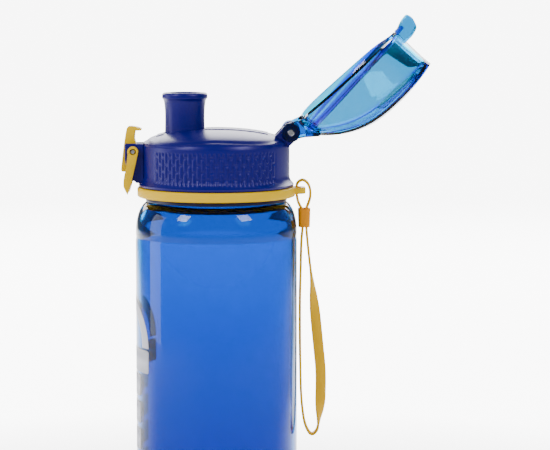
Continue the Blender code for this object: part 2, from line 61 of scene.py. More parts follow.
HINGE_X, _, HINGE_Z = joint("cover_hinge")["pos_m"]
LATCH_X, _, LATCH_Z = joint("latch_press")["pos_m"]
OPEN_ANGLE = math.radians(joint("cover_hinge")["range_deg"][1])
BODY_RADIUS, NECK_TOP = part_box("bottle_body")[1][1:]
LIP_RADIUS, INSERT_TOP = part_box("cap_insert")[1][1:]
LIP_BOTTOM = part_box("cap_insert")[0][2]
CAP_FOOT_RADIUS, CAP_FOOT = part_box("cap_shell")[1][1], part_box("cap_shell")[0][2]
RING_OUTER, RING_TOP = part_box("carry_ring")[1][1:]
RING_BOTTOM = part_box("carry_ring")[0][2]
SPOUT_LOW, SPOUT_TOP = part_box("spout")[0][2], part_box("spout")[1][2]
SPOUT_X = 0.5 * (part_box("spout")[0][0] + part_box("spout")[1][0])
SPOUT_LIP = 0.5 * (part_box("spout")[1][0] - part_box("spout")[0][0])
PIN_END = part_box("hinge_pin")[1][1]
LATCH_PIN_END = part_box("latch_pin")[1][1]


# ---------------------------------------------------------------- meshes from arrays
def in_mm(points):
    """Points given in millimetres, as tuples in metres."""
    return [tuple(value * MM for value in point) for point in points]


def grid_faces(rows, columns, wrap_rows=False, wrap_columns=True):
    """Quads of a grid of points numbered row by row, joined round at the wrapped directions."""
    row_count = rows if wrap_rows else rows - 1
    column_count = columns if wrap_columns else columns - 1
    row, column = np.meshgrid(np.arange(row_count), np.arange(column_count), indexing="ij")
    next_row, next_column = (row + 1) % rows, (column + 1) % columns
    corners = (row * columns + column, row * columns + next_column,
               next_row * columns + next_column, next_row * columns + column)
    return np.stack(corners, axis=-1).reshape(-1, 4)


def to_mesh(name, points, faces, band=None):
    """A smooth-shaded mesh object at the origin from an array of points and a list of faces.

    band, where it is given, is a number for each point, kept as the attribute thick_band.
    """
    mesh = bpy.data.meshes.new(name)
    mesh.from_pydata(np.asarray(points).reshape(-1, 3).tolist(), [], [list(face) for face in faces])
    if band is not None:
        layer = mesh.attributes.new("thick_band", "FLOAT", "POINT")
        layer.data.foreach_set("value", np.asarray(band, float).ravel())
    mesh.validate()
    piece = bpy.data.objects.new(name, mesh)
    bpy.context.scene.collection.objects.link(piece)
    mesh.shade_smooth()
    return piece


def outwards(piece):
    """Merge doubled points and turn every face outwards."""
    bm = bmesh.new()
    bm.from_mesh(piece.data)
    bmesh.ops.remove_doubles(bm, verts=bm.verts, dist=1e-6)
    bmesh.ops.dissolve_degenerate(bm, dist=1e-7, edges=bm.edges)
    bmesh.ops.recalc_face_normals(bm, faces=bm.faces)
    bm.to_mesh(piece.data)
    bm.free()
    return piece


def finish_piece(piece, body, look, *nodes, sharp=38.0):
    """Give a piece its body and the material of its look (a slot and a material), and hide the CAD nodes that
    it stands for.
    """
    slot, surface = look
    piece.data.materials.clear()
    piece.data.materials.append(surface)
    if sharp:
        piece.data.set_sharp_from_angle(angle=math.radians(sharp))
    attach(piece, body)
    if nodes:
        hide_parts(*nodes)
    return piece


def both_sides(inner, outer):
    """The label and the span along Y of each of a pair of parts."""
    return ("near", -outer, -inner), ("far", inner, outer)


def rounded_outline(corners, closed=True):
    """Points of a polyline whose corners (a, b, radius) are rounded by short quadratic arcs."""
    count = len(corners)
    out = []
    for index, (a, b, radius) in enumerate(corners):
        here = np.array((a, b))
        if radius <= 0 or (not closed and index in (0, count - 1)):
            out.append(here)
            continue
        before = np.array(corners[index - 1][:2])
        after = np.array(corners[(index + 1) % count][:2])
        back, ahead = before - here, after - here
        start = here + back * min(0.48, radius / max(np.hypot(*back), 1e-9))
        end = here + ahead * min(0.48, radius / max(np.hypot(*ahead), 1e-9))
        steps = 6
        t = np.linspace(0.0, 1.0, steps)[:, None]
        out.extend((1 - t) ** 2 * start + 2 * t * (1 - t) * here + t ** 2 * end)
    return np.array(out)


def turned(name, outline, steps=128, centre=(0.0, 0.0), closed=True):
    """A surface of revolution: the outline's (radius, height) points carried round the vertical at centre.

    x = centre x + radius cos a, y = centre y + radius sin a, z = height, for a round the circle.
    """
    outline = np.asarray(outline, float)
    angle = np.arange(steps) * math.tau / steps
    radius, height = outline[:, :1], outline[:, 1:]
    x = centre[0] + radius * np.cos(angle)
    y = centre[1] + radius * np.sin(angle)
    z = height + 0.0 * angle
    points = np.stack([x, y, z], axis=-1)
    return outwards(to_mesh(name, points, grid_faces(len(outline), steps, wrap_rows=closed)))


def slab(name, outline, low_y, high_y, round_edge=0.3 * MM, turn=None, segments=2):
    """A flat outline of (x, z) points given a thickness along Y, its edges rounded by a live bevel."""
    outline = np.asarray(outline, float)[:, :2]
    count = len(outline)
    points = np.zeros((2, count, 3))
    points[..., 0], points[..., 2] = outline[:, 0], outline[:, 1]
    points[0, :, 1], points[1, :, 1] = low_y, high_y
    points = points.reshape(-1, 3)
    if turn is not None:
        points = turn(points)
    sides = grid_faces(2, count)
    caps = [list(range(count)), list(range(count, 2 * count))]
    piece = outwards(to_mesh(name, points, list(sides) + caps))
    if round_edge:
        soften = piece.modifiers.new("round_edges", "BEVEL")
        soften.width = round_edge
        soften.segments = segments
        soften.limit_method = "ANGLE"
        soften.angle_limit = math.radians(40)
    return piece


def swept(name, line, section, across=(0, 1, 0), twist=None, closed=False):
    """A section of (across, out) points carried along a line.

    At each point the section's first axis is across, turned by twist about the line's direction.  Its second
    is the product of the direction and that axis.
    """
    line, section = np.asarray(line, float), np.asarray(section, float)
    if closed:
        along = np.roll(line, -1, 0) - np.roll(line, 1, 0)
    else:
        along = np.gradient(line, axis=0)
    along /= np.linalg.norm(along, axis=1, keepdims=True)
    side = np.broadcast_to(np.asarray(across, float), line.shape)
    side = side - along * np.sum(side * along, axis=1, keepdims=True)
    side = side / np.linalg.norm(side, axis=1, keepdims=True)
    out = np.cross(side, along)
    if twist is not None:
        c, s = np.cos(twist)[:, None], np.sin(twist)[:, None]
        side, out = side * c + out * s, out * c - side * s
    points = line[:, None] + section[None, :, :1] * side[:, None] + section[None, :, 1:] * out[:, None]
    count, sides = len(line), len(section)
    faces = list(grid_faces(count, sides, wrap_rows=closed))
    if not closed:
        faces += [list(range(sides)), list(range((count - 1) * sides, count * sides))]
    return outwards(to_mesh(name, points, faces))


def pill(width, thickness, steps=6):
    """Outline of a flat band's section: a rectangle with round edges."""
    half, radius = width / 2 - thickness / 2, thickness / 2
    angle = np.linspace(-math.pi / 2, math.pi / 2, steps)
    right = np.stack([half + radius * np.cos(angle), radius * np.sin(angle)], 1)
    return np.concatenate([right, -right])


def circle(radius, steps=12):
    """Outline of a round section."""
    angle = np.arange(steps) * math.tau / steps
    return np.stack([radius * np.cos(angle), radius * np.sin(angle)], 1)


def arc(x, z, radius, start, end, steps=10):
    """Points along an arc, angles in degrees."""
    angle = np.radians(np.linspace(start, end, steps + 1))
    return np.stack([x + radius * np.cos(angle), z + radius * np.sin(angle)], 1)


def smooth_line(points, spacing):
    """Even points along a Catmull-Rom curve through the given ones."""
    points = np.asarray(points, float)
    ends = np.concatenate([points[:1], points, points[-1:]])
    t = np.arange(12)[None, :, None] / 12
    before, here, there, after = (ends[i:len(ends) - 3 + i, None] for i in range(4))
    dense = 0.5 * (2 * here + (there - before) * t + (2 * before - 5 * here + 4 * there - after) * t ** 2
                   + (3 * here - before - 3 * there + after) * t ** 3)
    dense = np.concatenate([dense.reshape(-1, points.shape[1]), points[-1:]])
    run = np.concatenate([[0.0], np.cumsum(np.linalg.norm(np.diff(dense, axis=0), axis=1))])
    wanted = np.linspace(0.0, run[-1], int(round(run[-1] / spacing)) + 1)
    return np.stack([np.interp(wanted, run, dense[:, axis]) for axis in range(points.shape[1])], 1)


# ---------------------------------------------------------------- shader nodes
def set_inputs(tree, node, inputs):
    """Give each named or numbered input of a node its value, or link it from a socket."""
    for label, value in inputs.items():
        socket = node.inputs[label]
        if isinstance(value, bpy.types.NodeSocket):
            tree.links.new(value, socket)
        else:
            socket.default_value = (*value, 1.0) if socket.type == "RGBA" else value


def add_node(tree, kind, inputs, **settings):
    """A new shader node with its settings made and its inputs set or linked."""
    node = tree.nodes.new("ShaderNode" + kind)
    for name, value in settings.items():
        setattr(node, name, value)
    set_inputs(tree, node, inputs)
    return node


def calculate(tree, operation, first, second):
    """The result of a Math node on two numbers or sockets."""
    return add_node(tree, "Math", {0: first, 1: second}, operation=operation).outputs[0]


def object_place(tree):
    """Object coordinates."""
    return add_node(tree, "TexCoord", {}).outputs["Object"]


def noise(tree, place, scale, detail=3.0):
    """Soft noise over a place."""
    return add_node(tree, "TexNoise", {"Vector": place, "Scale": scale, "Detail": detail}).outputs["Fac"]


def ramp(tree, value, low, high, top=1.0, **settings):
    """0 at the low value, rising to top at the high one."""
    inputs = {"Value": value, "From Min": low, "From Max": high, "To Max": top}
    return add_node(tree, "MapRange", inputs, **settings).outputs["Result"]


def blend(tree, amount, first, second):
    """A colour that goes from first to second by amount."""
    inputs = {"A": first, "B": second, "Factor": amount}
    return add_node(tree, "Mix", inputs, data_type="RGBA").outputs["Result"]


def new_group(name, inputs, outputs):
    """An empty shader node group, the sockets of its given numbers and the node that takes its results."""
    group = bpy.data.node_groups.new(name, "ShaderNodeTree")
    for label, value in inputs.items():
        socket = group.interface.new_socket(name=label, in_out="INPUT", socket_type="NodeSocketFloat")
        socket.default_value = value
    for label, kind in outputs.items():
        group.interface.new_socket(name=label, in_out="OUTPUT", socket_type="NodeSocket" + kind)
    return group, group.nodes.new("NodeGroupInput").outputs, group.nodes.new("NodeGroupOutput")


def moulded_skin():
    """Moulded plastic: orange peel in the normal, and roughness that drifts with handling and fine scuffs."""
    group, given, result = new_group(
        "moulded_skin",
        {"Grain Size": 900.0, "Grain Depth": 0.08, "Roughness": 0.4, "Roughness Drift": 0.08, "Scuffs": 0.1},
        {"Roughness": "Float", "Normal": "Vector", "Wear": "Float"})
    place = object_place(group)
    stretch = {"Vector": place, "Scale": (1.0, 1.0, 14.0), "Rotation": (0.35, 0.5, 0.0)}
    marks = noise(group, add_node(group, "Mapping", stretch).outputs[0], 160.0, 2.0)
    wear = calculate(group, "MULTIPLY", ramp(group, marks, 0.66, 0.74), given["Scuffs"])
    drift = calculate(group, "SUBTRACT", noise(group, place, 45.0, 4.0), 0.5)
    swing = calculate(group, "MULTIPLY", drift, given["Roughness Drift"])
    rough = calculate(group, "ADD", calculate(group, "ADD", given["Roughness"], swing), wear)
    grain = noise(group, place, given["Grain Size"])
    bump = add_node(group, "Bump", {"Height": grain, "Strength": given["Grain Depth"], "Distance": 0.0002})
    set_inputs(group, result, {"Roughness": rough, "Normal": bump.outputs["Normal"], "Wear": wear})
    return group


def height_blend():
    """0 at a piece's low height and 1 at its high one, for a colour that fades: on the body, painted light
    from above.
    """
    group, given, result = new_group("height_blend", {"Low": 0.0, "High": 0.2}, {"Amount": "Float"})
    height = add_node(group, "SeparateXYZ", {0: object_place(group)}).outputs["Z"]
    fade = ramp(group, height, given["Low"], given["High"], interpolation_type="SMOOTHSTEP")
    set_inputs(group, result, {"Amount": fade})
    return group


# ---------------------------------------------------------------- looks
MOULDED = moulded_skin()
PAINTED_TOP_LIGHT = height_blend()


def start_material(name, grain_size, grain_depth, roughness, drift, scuffs):
    """A material whose roughness comes from the moulded skin, and its normal too unless it is polished.

    With it come its node tree, its Principled shader and the skin's wear.
    """
    made = bpy.data.materials.new(name)
    made.use_nodes = True
    tree = made.node_tree
    shader = tree.nodes["Principled BSDF"]
    values = {"Grain Size": grain_size, "Grain Depth": grain_depth, "Roughness": roughness,
              "Roughness Drift": drift, "Scuffs": scuffs}
    skin = add_node(tree, "Group", values, node_tree=MOULDED).outputs
    set_inputs(tree, shader, {"Roughness": skin["Roughness"]})
    if grain_depth:
        set_inputs(tree, shader, {"Normal": skin["Normal"]})
    return made, tree, shader, skin["Wear"]


def opaque_plastic(name, deep, pale, roughness, grain=0.10, shine=0.5, glint=(1.0, 1.0, 1.0)):
    """Solid moulded plastic: pigment that clouds faintly between two tones, paler along fine scuffs."""
    made, tree, shader, wear = start_material(name, 1400.0, grain, roughness, 0.10, 0.12)
    pigment = blend(tree, noise(tree, object_place(tree), 60.0), deep, pale)
    scuffed = [min(1.0, 1.35 * value + 0.02) for value in pale]
    set_inputs(tree, shader, {"Base Color": blend(tree, wear, pigment, scuffed), "IOR": 1.49,
                              "Specular IOR Level": shine, "Specular Tint": glint})
    return made


def silicone(name, deep, pale):
    """Matt silicone rubber: soft dusty sheen and a very fine tooth."""
    made = opaque_plastic(name, deep, pale, 0.52, grain=0.25, shine=0.25)
    shader = made.node_tree.nodes["Principled BSDF"]
    set_inputs(made.node_tree, shader, {"Sheen Weight": 0.08, "Sheen Roughness": 0.4})
    return made


def clear_plastic(name, scuffs, refraction):
    """The start of a polished clear plastic, with its node tree and shader."""
    made, tree, shader, _ = start_material(name, 260.0, 0.0, 0.03, 0.02, scuffs)
    set_inputs(tree, shader, {"Transmission Weight": 1.0, "IOR": refraction})
    return made, tree, shader


def tinted_body():
    """Clear body plastic: deeper blue towards the base, paling to cyan-blue at the shoulder as painted light
    from above, and darker seen edge-on, partly the deeper tint of the long path through the wall and partly
    painted shade of the dark rim along the silhouette.
    """
    made, tree, shader = clear_plastic("clear_blue_tint", 0.01, 1.35)
    # Painted light: the tint pales towards the shoulder, where the light from above falls, and deepens towards
    # the base as painted shade.
    fade = add_node(tree, "Group", {"Low": 0.02, "High": 0.19}, node_tree=PAINTED_TOP_LIGHT).outputs["Amount"]
    colour = blend(tree, fade, (0.0, 0.065, 0.36), (0.0, 0.19, 0.54))
    # Seen edge-on the tint deepens: partly the longer path through the wall, partly painted shade for the dark
    # rim along the silhouette.
    facing = add_node(tree, "LayerWeight", {"Blend": 0.5}).outputs["Facing"]
    edge = ramp(tree, facing, 0.62, 0.95)
    set_inputs(tree, shader, {"Base Color": blend(tree, edge, colour, (0.004, 0.02, 0.12))})
    return made


def tinted_cover():
    """Clear cover plastic: cyan over the panels, deep blue where thick_band says that it is thick."""
    made, tree, shader = clear_plastic("clear_cyan_tint", 0.02, 1.40)
    band = add_node(tree, "Attribute", {}, attribute_name="thick_band").outputs["Fac"]
    set_inputs(tree, shader, {"Base Color": blend(tree, band, (0.0, 0.46, 0.68), (0.0, 0.03, 0.60))})
    return made


def steel():
    """Bright spring steel with faint drawing marks."""
    made, tree, shader, _ = start_material("bright_steel", 2200.0, 0.10, 0.25, 0.10, 0.10)
    tone = blend(tree, noise(tree, object_place(tree), 400.0), (0.42, 0.43, 0.45), (0.62, 0.63, 0.66))
    set_inputs(tree, shader, {"Base Color": tone, "Metallic": 1.0})
    return made


# Each look is the name of its slot and its material.
BODY_TINT = ("clear_blue_body", tinted_body())
COVER_TINT = ("clear_cyan_cover", tinted_cover())
INDIGO = ("satin_indigo", opaque_plastic(
    "satin_indigo", (0.004, 0.001, 0.15), (0.006, 0.002, 0.18), 0.34, grain=0.16, glint=(0.62, 0.56, 1.0)))
NAVY = ("dark_navy", opaque_plastic("dark_navy", (0.004, 0.004, 0.045), (0.006, 0.006, 0.060), 0.36))
YELLOW = ("yellow_plastic", opaque_plastic(
    "warm_yellow", (0.92, 0.56, 0.0), (0.98, 0.62, 0.0), 0.42, shine=0.2))
STRAP_YELLOW = ("yellow_silicone", silicone("strap_yellow", (0.90, 0.48, 0.0), (0.96, 0.55, 0.0)))
KEEPER_ORANGE = ("orange_silicone", silicone("keeper_orange", (1.0, 0.33, 0.0), (1.0, 0.38, 0.0)))
PALE_SILICONE = ("pale_silicone", silicone("pale_silicone", (0.60, 0.70, 0.78), (0.72, 0.80, 0.86)))
PRINT_INK = ("clear_blue_body", opaque_plastic("pale_ink", (0.66, 0.67, 0.78), (0.74, 0.75, 0.84), 0.45))
STEEL = ("pin_steel", steel())


# ---------------------------------------------------------------- bottle
LEAD = 9.0 * MM                 # rise of the screw in one turn
LEDGE = LIP_BOTTOM - 0.3 * MM   # flat top of the shoulder, just under the cap's lip
NECK_RADIUS = 28.0 * MM
MOUTH_RADIUS = 25.5 * MM
BODY_WALL = 2.0 * MM


def ridge(name, root, crest, low, start, turns, per_turn=96):
    """A thread ridge: a round-topped section carried up a helix, which fades into the wall at both ends.

    The section's top reaches from root to crest radius.  Angle grows evenly from start, and height from low by
    LEAD in one turn.
    """
    steps = int(turns * per_turn)
    run = np.arange(steps + 1)
    angle = start + math.tau * run / per_turn
    fade = np.clip(np.minimum(run, steps - run) / 10.0 + 0.05, 0.0, 1.0) ** 0.6
    across = np.linspace(-1.0, 1.0, 9)
    height = low + LEAD * run[:, None] / per_turn + across * 0.95 * MM
    swell = np.cos(across * math.pi / 2) ** 0.45
    radius = root + (crest - root) * fade[:, None] * swell
    points = np.stack([radius * np.cos(angle)[:, None], radius * np.sin(angle)[:, None], height], -1)
    faces = list(grid_faces(steps + 1, len(across), wrap_columns=True))
    faces += [list(range(len(across))), list(range(steps * len(across), (steps + 1) * len(across)))]
    return outwards(to_mesh(name, points, faces))


def body_outline():
    """Outline of the bottle: rounded foot, straight wall with a faint step under its shoulder, and neck."""
    wall, step, soft = BODY_RADIUS, 0.22 * MM, 0.7 * MM
    inner_wall = wall - BODY_WALL
    return np.concatenate([
        in_mm([(0.0, 0.0), (29.0, 0.0)]),
        arc(wall - 7.2 * MM, 7.2 * MM, 7.0 * MM, -86, -4, 12),
        [(wall - step, 9.5 * MM), (wall, 12.0 * MM), (wall, 161.2 * MM), (wall - step, 162.6 * MM),
         (wall - step, 163.6 * MM), (wall - 0.05 * MM, 164.6 * MM)],
        in_mm([(36.6, 167.6), (36.25, 170.6), (35.55, 173.4), (34.6, 175.7), (33.4, 177.5), (32.2, 178.6)]),
        [(31.0 * MM, LEDGE), (NECK_RADIUS + 1.2 * MM, LEDGE), (NECK_RADIUS, LEDGE + 0.8 * MM),
         (NECK_RADIUS, NECK_TOP - soft), (NECK_RADIUS - soft, NECK_TOP), (MOUTH_RADIUS + 0.5 * MM, NECK_TOP),
         (MOUTH_RADIUS, NECK_TOP - 0.5 * MM), (MOUTH_RADIUS, LEDGE - 2.6 * MM),
         (27.0 * MM, LEDGE - 3.4 * MM)],
        in_mm([(31.6, 175.4), (33.2, 172.8), (34.2, 169.4)]),
        [(inner_wall, 164.0 * MM), (inner_wall, 13.0 * MM)],
        arc(wall - 7.6 * MM, 8.2 * MM, 5.6 * MM, 0, -84, 10),
        [(0.0, 2.6 * MM)]])


def make_bottle():
    """The clear body with its neck thread."""
    body = turned("bottle_wall", body_outline(), steps=160, closed=False)
    finish_piece(body, "bottle", BODY_TINT, "bottle_body", sharp=50)
    for start in range(2):
        rib = ridge(f"neck_thread_{start}", NECK_RADIUS - 0.2 * MM, NECK_RADIUS + 1.45 * MM, 185.0 * MM,
                    math.pi * start + 0.03, 1.0)
        finish_piece(rib, "bottle", BODY_TINT)


def wall_patch(name, radius, low, high, half_angle, corner=1.2 * MM, steps=40):
    """A printed bar on the wall about the -X side: a rectangle with round corners bent round the body."""
    half = half_angle * radius
    along = half * np.sin(np.linspace(-math.pi / 2, math.pi / 2, steps + 1))
    into = np.clip(np.abs(along) - (half - corner), 0.0, corner)
    inset = corner - np.sqrt(corner ** 2 - into ** 2)
    height = np.stack([low + inset, high - inset])
    angle = math.pi + np.broadcast_to(along, height.shape) / radius
    points = np.stack([radius * np.cos(angle), radius * np.sin(angle), height], -1)
    return to_mesh(name, points, grid_faces(2, steps + 1, wrap_columns=False))


def printed_arch(name, radius, foot, reach, stroke, steps=48):
    """A printed arch on the wall: a half ring of arc length and height, bent round the body about -X."""
    swing = np.linspace(0.0, math.pi, steps + 1)
    rings = np.linspace(reach, reach - stroke, 9)[:, None]
    along, height = rings * np.cos(swing), foot + rings * 0.98 * np.sin(swing)
    angle = math.pi + along / radius
    points = np.stack([radius * np.cos(angle), radius * np.sin(angle), height], -1)
    return to_mesh(name, points, grid_faces(9, steps + 1, wrap_columns=False))


def make_print():
    """A plain graduated scale with an arch over it, printed on the front of the body; it says nothing."""
    ink_radius = BODY_RADIUS + 0.06 * MM
    wide, narrow = math.radians(35.0), math.radians(22.0)
    parts = [printed_arch("print_arch", ink_radius, 114.0 * MM, wide * ink_radius, 6.2 * MM)]
    parts.append(wall_patch("print_long_bar", ink_radius, 102.6 * MM, 113.0 * MM, wide))
    tops = [101.0 * MM - 12.4 * MM * count for count in range(6)]
    for count, top in enumerate(tops):
        reach = wide if count == 4 else narrow
        parts.append(wall_patch(f"print_bar_{count}", ink_radius, top - 9.6 * MM, top, reach))
    for part in parts:
        solid = part.modifiers.new("ink_film", "SOLIDIFY")
        solid.thickness = 0.04 * MM
        solid.offset = -1.0
        finish_piece(part, "bottle", PRINT_INK, sharp=0)


# ---------------------------------------------------------------- cap
CAP_RADIUS = 33.3 * MM
CAP_CORNER = 204.5 * MM
DOME_RISE = 7.7 * MM
GRIP_COLUMNS = 100              # grip bars that would fit right round the skirt


def dome_height(radius):
    """Height of the domed top at a radius: a quarter ellipse over the cap's corner."""
    return CAP_CORNER + DOME_RISE * np.sqrt(np.clip(1.0 - (radius / (33.5 * MM)) ** 2, 0.0, 1.0))


def grip_height(angle, height):
    """How far the grip stands proud: upright bars set like bricks, on the two sides of the skirt.

    Bars repeat every column round the skirt, and every other column is moved by half a bar.  A bar is a
    flattened cosine hump across, and fades at its two ends.  The patch fades out at its four edges.
    """
    column = angle * GRIP_COLUMNS / math.tau
    place = column - np.floor(column) - 0.5
    odd = np.floor(column) % 2
    hump = np.clip(1.25 * np.cos(place * math.pi * 1.25), 0.0, 1.0)
    bar = 6.35 * MM
    turn = (height - 187.9 * MM) / bar + 0.5 * odd
    along = turn - np.floor(turn) - 0.5
    ends = np.clip((0.44 - np.abs(along)) / 0.07, 0.0, 1.0)
    side = np.abs(np.abs(np.mod(angle + math.pi, math.tau) - math.pi) - math.pi / 2)
    patch = np.clip((math.radians(55.0) - side) / math.radians(3.0), 0.0, 1.0)
    inside = np.minimum(height - 188.4 * MM, 202.9 * MM - height)
    rows = np.clip(inside / (0.5 * MM), 0, 1)
    return (0.42 * MM * hump * ends - 0.30 * MM) * patch * rows


def make_cap():
    """Outer cap as one surface: down the dome, round the corner, down the gripped skirt, then inside.

    The dome carries a shallow oval groove where the cover's rim comes down.
    """
    steps = GRIP_COLUMNS * 8
    dome = np.sin(np.linspace(0.0, math.radians(79.5), 40)) * 33.5 * MM
    top = [(radius, float(dome_height(radius))) for radius in dome]
    corner = [(x, z) for x, z in arc(CAP_RADIUS - 0.7 * MM, CAP_CORNER - 0.1 * MM, 0.7 * MM, 52, 0, 5)]
    skirt = [(CAP_RADIUS, z) for z in np.linspace(203.6 * MM, 191.0 * MM, 60)]
    drop = np.linspace(0.0, 1.0, 12)[1:]
    spread = CAP_FOOT_RADIUS - CAP_RADIUS
    flare = [(CAP_RADIUS + spread * t ** 2.2, 191.0 * MM - 3.9 * MM * t) for t in drop]
    foot = [(CAP_FOOT_RADIUS, CAP_FOOT + 0.5 * MM), (CAP_FOOT_RADIUS - 0.4 * MM, CAP_FOOT)]
    foot += [(31.9 * MM, CAP_FOOT)]
    inside = in_mm([(31.9, 202.0), (30.6, 203.6), (20.0, 207.6), (0.0, 209.4)])
    profile = np.array(top + corner + skirt + flare + foot + inside)
    angle = np.arange(steps) * math.tau / steps
    radius, height = profile[:, :1] + 0 * angle, profile[:, 1:] + 0 * angle
    outer = np.zeros((len(profile), 1))
    outer[len(top) + len(corner):len(top) + len(corner) + len(skirt) + len(flare)] = 1.0
    radius = radius + grip_height(angle, height) * outer
    x, y = radius * np.cos(angle), radius * np.sin(angle)
    ring_x, ring_y = (x - COVER_MIDDLE) / COVER_REACH, y / (COVER_HALF - 0.8 * MM)
    oval = (np.abs(ring_x) ** 2.5 + np.abs(ring_y) ** 2.5) ** 0.4
    groove = np.exp(-((oval - 1.0) / 0.028) ** 2)
    is_top = np.zeros((len(profile), 1))
    is_top[:len(top)] = 1.0
    height = height - 0.35 * MM * groove * is_top
    cap = outwards(to_mesh("cap_outer", np.stack([x, y, height], -1), grid_faces(len(profile), steps, False)))
    finish_piece(cap, "cap", INDIGO, "cap_shell", sharp=42)
    return cap


def make_crest():
    """A low flat-sided crest over the dome from front to back, in two lengths either side of the spout."""
    half, rise = 7.2 * MM, 0.30 * MM
    for label, low, high in (("front", -26.8 * MM, -23.6 * MM), ("rear", -4.9 * MM, 23.4 * MM)):
        x = np.linspace(low, high, 60)[:, None]
        y = np.concatenate([[-half, -half], np.linspace(-half, half, 21), [half, half]])[None, :]
        lift = np.full(y.shape, rise)
        lift[0, [0, -1]] = -0.5 * MM
        lift[0, [1, -2]] = 0.6 * rise
        y = y + np.where(np.abs(y) > half - 1e-6, np.sign(y) * 0.12 * MM * (lift < rise), 0.0)
        x, y = np.broadcast_arrays(x, y)
        z = dome_height(np.hypot(x, y)) + lift
        crest = outwards(to_mesh(f"dome_crest_{label}", np.stack([x, y, z], -1), grid_faces(60, 25)))
        finish_piece(crest, "cap", INDIGO, sharp=30)


def make_latch_block():
    """Two upright cheeks in front of the skirt, with a small step under each."""
    cheek = rounded_outline(in_mm([
        (-32.6, 205.5, 0), (-41.1, 205.5, 0.5), (-41.1, 197.5, 1.5), (-38.7, 188.7, 0.5),
        (-37.0, 188.7, 0.4), (-36.0, 187.7, 0.4), (-32.6, 187.7, 0)]))
    for label, low, high in both_sides(3.5 * MM, 6.7 * MM):
        finish_piece(slab(f"latch_cheek_{label}", cheek, low, high, 0.35 * MM), "cap", INDIGO)
    back = rounded_outline(in_mm([
        (-32.4, 204.6, 0), (-34.0, 204.2, 0.6), (-33.7, 189.0, 0.6), (-32.4, 188.4, 0)]))
    finish_piece(slab("latch_back", back, -3.6 * MM, 3.6 * MM, 0), "cap", INDIGO)


def make_knuckles():
    """Two hinge knuckles that rise from the dome's rear edge to the pin."""
    web = in_mm([(26.0, 208.2), (30.0, 204.2), (32.7, 204.0)])
    outline = np.concatenate([web, arc(HINGE_X, HINGE_Z, 4.15 * MM, -45, 150, 16)])
    for label, low, high in both_sides(4.2 * MM, 9.0 * MM):
        finish_piece(slab(f"hinge_knuckle_{label}", outline, low, high, 0.35 * MM), "cap", INDIGO)


def make_spout():
    """Chimney mouthpiece: a waisted tube with a rolled lip, swelling a little where it meets the dome."""
    waist = in_mm([(9.02, 212.0), (8.95, 216.0), (8.98, 219.5), (9.2, 222.6), (9.6, 224.9)])
    lip = [(SPOUT_LIP - 0.05 * MM, 225.9 * MM), (SPOUT_LIP, 226.8 * MM), (SPOUT_LIP - 0.1 * MM, 227.6 * MM),
           (SPOUT_LIP - 0.7 * MM, SPOUT_TOP), (8.4 * MM, SPOUT_TOP - 0.05 * MM)]
    bore = in_mm([(7.5, 227.5), (6.8, 225.4), (6.6, 222.0)])
    outline = np.concatenate([
        [(9.05 * MM, SPOUT_LOW), (9.05 * MM, 209.4 * MM)],
        smooth_line(waist + lip + bore, 0.35 * MM),
        [(6.6 * MM, SPOUT_LOW)]])
    finish_piece(turned("spout_chimney", outline, 112, (SPOUT_X, 0.0)), "cap", INDIGO, "spout", sharp=55)


def make_insert():
    """Threaded inner cap; below the skirt its neck and lip show as the groove that holds the carry ring."""
    bore, wall, neck, hole = 30.0 * MM, 31.5 * MM, 31.2 * MM, 7.2 * MM
    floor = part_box("neck_gasket")[1][2] + 0.3 * MM
    insert = turned("threaded_insert", rounded_outline([
        (hole, INSERT_TOP, 0), (30.2 * MM, INSERT_TOP, 0), (wall, INSERT_TOP - 1.3 * MM, 0),
        (wall, 186.5 * MM, 0), (neck, 186.2 * MM, 0), (neck, 181.05 * MM, 0.2 * MM),
        (LIP_RADIUS - 0.05 * MM, 181.0 * MM, 0.4 * MM), (LIP_RADIUS, LIP_BOTTOM, 0.4 * MM),
        (bore, LIP_BOTTOM, 0), (bore, floor, 0), (hole, floor, 0)]), 128)
    finish_piece(insert, "cap", NAVY, "cap_insert")
    phase = math.tau * (2.5 * MM - 0.25 * LEAD) / LEAD
    for start in range(2):
        rib = ridge(f"insert_thread_{start}", bore + 0.2 * MM, bore - 1.45 * MM, 187.5 * MM,
                    math.pi * start + phase + 0.03, 1.0)
        finish_piece(rib, "cap", NAVY)


def make_seals():
    """The flat gasket on the bottle's rim and the washer under the spout."""
    for name, inner, outer, soft, steps, middle, body, node in (
            ("rim_gasket", 25.2 * MM, 28.55 * MM, 0.35 * MM, 96, 0.0, "gasket", "neck_gasket"),
            ("spout_washer", 7.4 * MM, 8.85 * MM, 0.3 * MM, 72, SPOUT_X, "cap", "spout_seal")):
        low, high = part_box(node)[0][2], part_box(node)[1][2]
        flat = rounded_outline([
            (inner, low, soft), (outer, low, soft), (outer, high, soft), (inner, high, soft)])
        finish_piece(turned(name, flat, steps, (middle, 0.0)), body, PALE_SILICONE, node, sharp=0)


# ---------------------------------------------------------------- cover
COVER_WALL = 1.8 * MM
COVER_HALF = 31.0 * MM
COVER_FRONT, COVER_REAR = -31.4 * MM, 29.0 * MM
COVER_MIDDLE = 0.5 * (COVER_FRONT + COVER_REAR)
COVER_REACH = 0.5 * (COVER_REAR - COVER_FRONT)
TOP_HALF = 16.5 * MM
EAR_INNER, EAR_OUTER = 9.3 * MM, 12.3 * MM


def opened(points):
    """Turn points of the closed cover about the hinge to where the open cover rests."""
    points = np.asarray(points, float)
    flat = points.reshape(-1, 3) - (HINGE_X, 0.0, HINGE_Z)
    c, s = math.cos(OPEN_ANGLE), math.sin(OPEN_ANGLE)
    x, y, z = flat.T
    swung = np.stack([x * c + z * s, y, z * c - x * s], 1)
    return (swung + (HINGE_X, 0.0, HINGE_Z)).reshape(points.shape)


